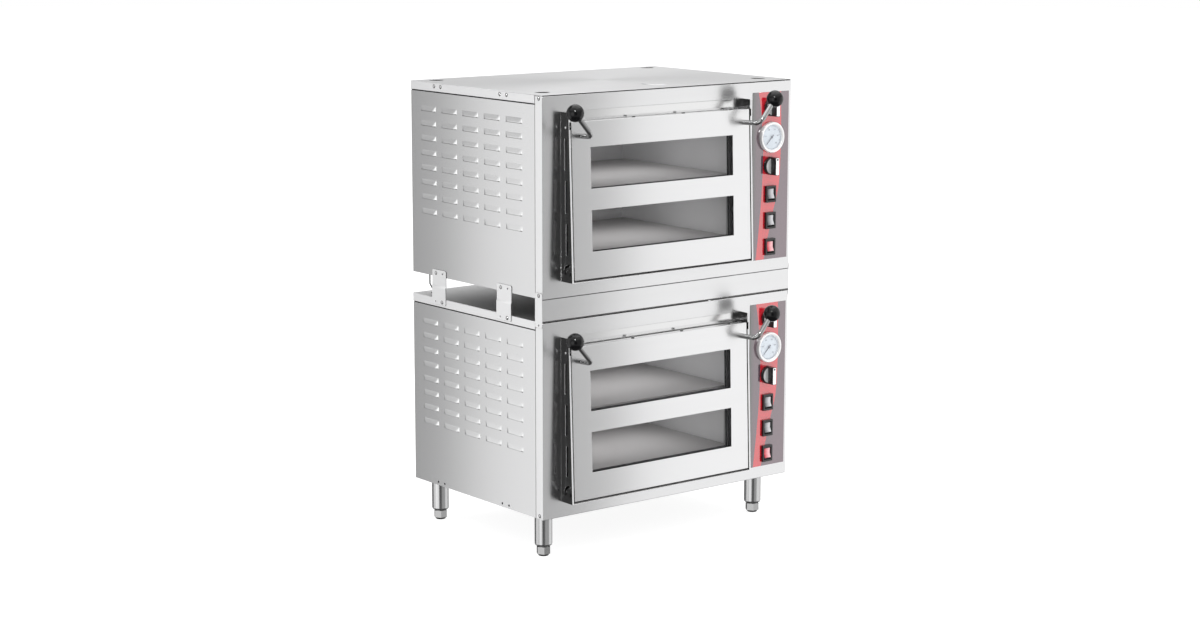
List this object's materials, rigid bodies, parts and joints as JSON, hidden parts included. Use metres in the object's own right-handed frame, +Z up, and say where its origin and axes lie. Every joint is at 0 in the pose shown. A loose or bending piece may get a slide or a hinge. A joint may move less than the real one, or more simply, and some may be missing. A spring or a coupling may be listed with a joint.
{
  "type": "stacked deck pizza oven",
  "caption": "Two stainless countertop deck pizza ovens stacked on round legs, each with a drop-down windowed door, ball handles and a side control plate.",
  "frame": {"origin": "on the floor, under the middle of the bounding box", "axes": "+Z up, +X to the right seen from the front, +Y to the back"},
  "size_m": [0.7574, 0.6458, 1.0771],
  "materials": {
    "case_steel": "brushed",
    "case_bright": "fine brushed",
    "liner_steel": "plain rolled, darkened by heat",
    "mirror_steel": "polished",
    "chrome": "bright polished",
    "black_plastic": "moulded, glossy",
    "rocker_clear": "smoke-clear moulded",
    "rocker_red": "red moulded",
    "plate_print": "glossy printed film",
    "seal_black": "matt black",
    "window_glass": "clear heat-resistant",
    "stone": "plain baking stone",
    "element": "matt dark sheath",
    "blanket": "mineral-wool blanket",
    "ivory_plastic": "moulded",
    "switch_body": "moulded",
    "copper": "bare copper tube",
    "needle_black": "matt",
    "wire_black": "insulated wire"
  },
  "bodies": {
    "cases": {"upper_fascia": "case_steel", "upper_top_panel": "case_bright", "upper_left_panel": "case_steel", "upper_right_panel": "case_steel", "upper_base_pan": "case_steel", "upper_door_cheeks": "mirror_steel", "upper_chamber": "liner_steel", "lower_fascia": "case_steel", "lower_top_panel": "case_bright", "lower_left_panel": "case_steel", "lower_right_panel": "case_steel", "lower_base_pan": "case_steel", "lower_door_cheeks": "mirror_steel", "lower_chamber": "liner_steel", "back_panels": "case_steel", "control_plates": "plate_print", "gauges": "chrome", "switch_frames": "black_plastic", "control_bodies": "switch_body", "capillaries": "copper", "terminal_blocks": "ivory_plastic", "cord_glands": "seal_black", "stone_decks": "stone", "heating_elements": "element", "insulation": "blanket", "leg_tubes": "chrome", "side_brackets": "case_steel", "filler_panel": "case_bright", "case_screws": "chrome", "bond_wire": "wire_black"},
    "upper_door": {"upper_door_skin": "case_bright", "upper_door_pan": "liner_steel", "upper_door_glass": "window_glass", "upper_door_seals": "seal_black", "upper_handle_rods": "chrome", "upper_handle_balls": "black_plastic", "upper_door_fasteners": "chrome"},
    "upper_timer": {"upper_timer_knob": "black_plastic"},
    "upper_thermostat": {"upper_thermostat_knob": "black_plastic"},
    "upper_switch_top": {"upper_rocker_top": "rocker_clear"},
    "upper_switch_bottom": {"upper_rocker_bottom": "rocker_clear"},
    "upper_switch_power": {"upper_rocker_power": "rocker_red"},
    "upper_needle": {"upper_gauge_needle": "needle_black"},
    "lower_door": {"lower_door_skin": "case_bright", "lower_door_pan": "liner_steel", "lower_door_glass": "window_glass", "lower_door_seals": "seal_black", "lower_handle_rods": "chrome", "lower_handle_balls": "black_plastic", "lower_door_fasteners": "chrome"},
    "lower_timer": {"lower_timer_knob": "black_plastic"},
    "lower_thermostat": {"lower_thermostat_knob": "black_plastic"},
    "lower_switch_top": {"lower_rocker_top": "rocker_clear"},
    "lower_switch_bottom": {"lower_rocker_bottom": "rocker_clear"},
    "lower_switch_power": {"lower_rocker_power": "rocker_red"},
    "lower_needle": {"lower_gauge_needle": "needle_black"},
    "foot_front_left": {"foot_front_left": "chrome"},
    "foot_front_right": {"foot_front_right": "chrome"},
    "foot_back_left": {"foot_back_left": "chrome"},
    "foot_back_right": {"foot_back_right": "chrome"}
  },
  "joints": [
    {"name": "upper_door_hinge", "type": "hinge", "parent": "cases", "child": "upper_door", "pos_m": [-0.05, -0.24906, 0.675], "axis": [1, 0, 0], "range_deg": [0, 88]},
    {"name": "upper_timer_turn", "type": "hinge", "parent": "cases", "child": "upper_timer", "pos_m": [0.3095, -0.22906, 1.012], "axis": [0, 1, 0], "range_deg": [0, 300]},
    {"name": "upper_thermostat_turn", "type": "hinge", "parent": "cases", "child": "upper_thermostat", "pos_m": [0.3095, -0.22906, 0.871], "axis": [0, 1, 0], "range_deg": [0, 290]},
    {"name": "upper_switch_top_press", "type": "hinge", "parent": "cases", "child": "upper_switch_top", "pos_m": [0.3095, -0.21806, 0.803], "axis": [1, 0, 0], "range_deg": [0, 18]},
    {"name": "upper_switch_bottom_press", "type": "hinge", "parent": "cases", "child": "upper_switch_bottom", "pos_m": [0.3095, -0.21806, 0.739], "axis": [1, 0, 0], "range_deg": [0, 18]},
    {"name": "upper_switch_power_press", "type": "hinge", "parent": "cases", "child": "upper_switch_power", "pos_m": [0.3095, -0.21806, 0.675], "axis": [1, 0, 0], "range_deg": [0, 18]},
    {"name": "upper_needle_swing", "type": "hinge", "parent": "cases", "child": "upper_needle", "pos_m": [0.3095, -0.22406, 0.94], "axis": [0, 1, 0], "range_deg": [0, 270]},
    {"name": "lower_door_hinge", "type": "hinge", "parent": "cases", "child": "lower_door", "pos_m": [-0.05, -0.24906, 0.163], "axis": [1, 0, 0], "range_deg": [0, 88]},
    {"name": "lower_timer_turn", "type": "hinge", "parent": "cases", "child": "lower_timer", "pos_m": [0.3095, -0.22906, 0.5], "axis": [0, 1, 0], "range_deg": [0, 300]},
    {"name": "lower_thermostat_turn", "type": "hinge", "parent": "cases", "child": "lower_thermostat", "pos_m": [0.3095, -0.22906, 0.359], "axis": [0, 1, 0], "range_deg": [0, 290]},
    {"name": "lower_switch_top_press", "type": "hinge", "parent": "cases", "child": "lower_switch_top", "pos_m": [0.3095, -0.21806, 0.291], "axis": [1, 0, 0], "range_deg": [0, 18]},
    {"name": "lower_switch_bottom_press", "type": "hinge", "parent": "cases", "child": "lower_switch_bottom", "pos_m": [0.3095, -0.21806, 0.227], "axis": [1, 0, 0], "range_deg": [0, 18]},
    {"name": "lower_switch_power_press", "type": "hinge", "parent": "cases", "child": "lower_switch_power", "pos_m": [0.3095, -0.21806, 0.163], "axis": [1, 0, 0], "range_deg": [0, 18]},
    {"name": "lower_needle_swing", "type": "hinge", "parent": "cases", "child": "lower_needle", "pos_m": [0.3095, -0.22406, 0.428], "axis": [0, 1, 0], "range_deg": [0, 270]},
    {"name": "foot_front_left_screw", "type": "slide", "parent": "cases", "child": "foot_front_left", "axis": [0, 0, -1], "range_m": [0, 0.02]},
    {"name": "foot_front_right_screw", "type": "slide", "parent": "cases", "child": "foot_front_right", "axis": [0, 0, -1], "range_m": [0, 0.02]},
    {"name": "foot_back_left_screw", "type": "slide", "parent": "cases", "child": "foot_back_left", "axis": [0, 0, -1], "range_m": [0, 0.02]},
    {"name": "foot_back_right_screw", "type": "slide", "parent": "cases", "child": "foot_back_right", "axis": [0, 0, -1], "range_m": [0, 0.02]}
  ]
}
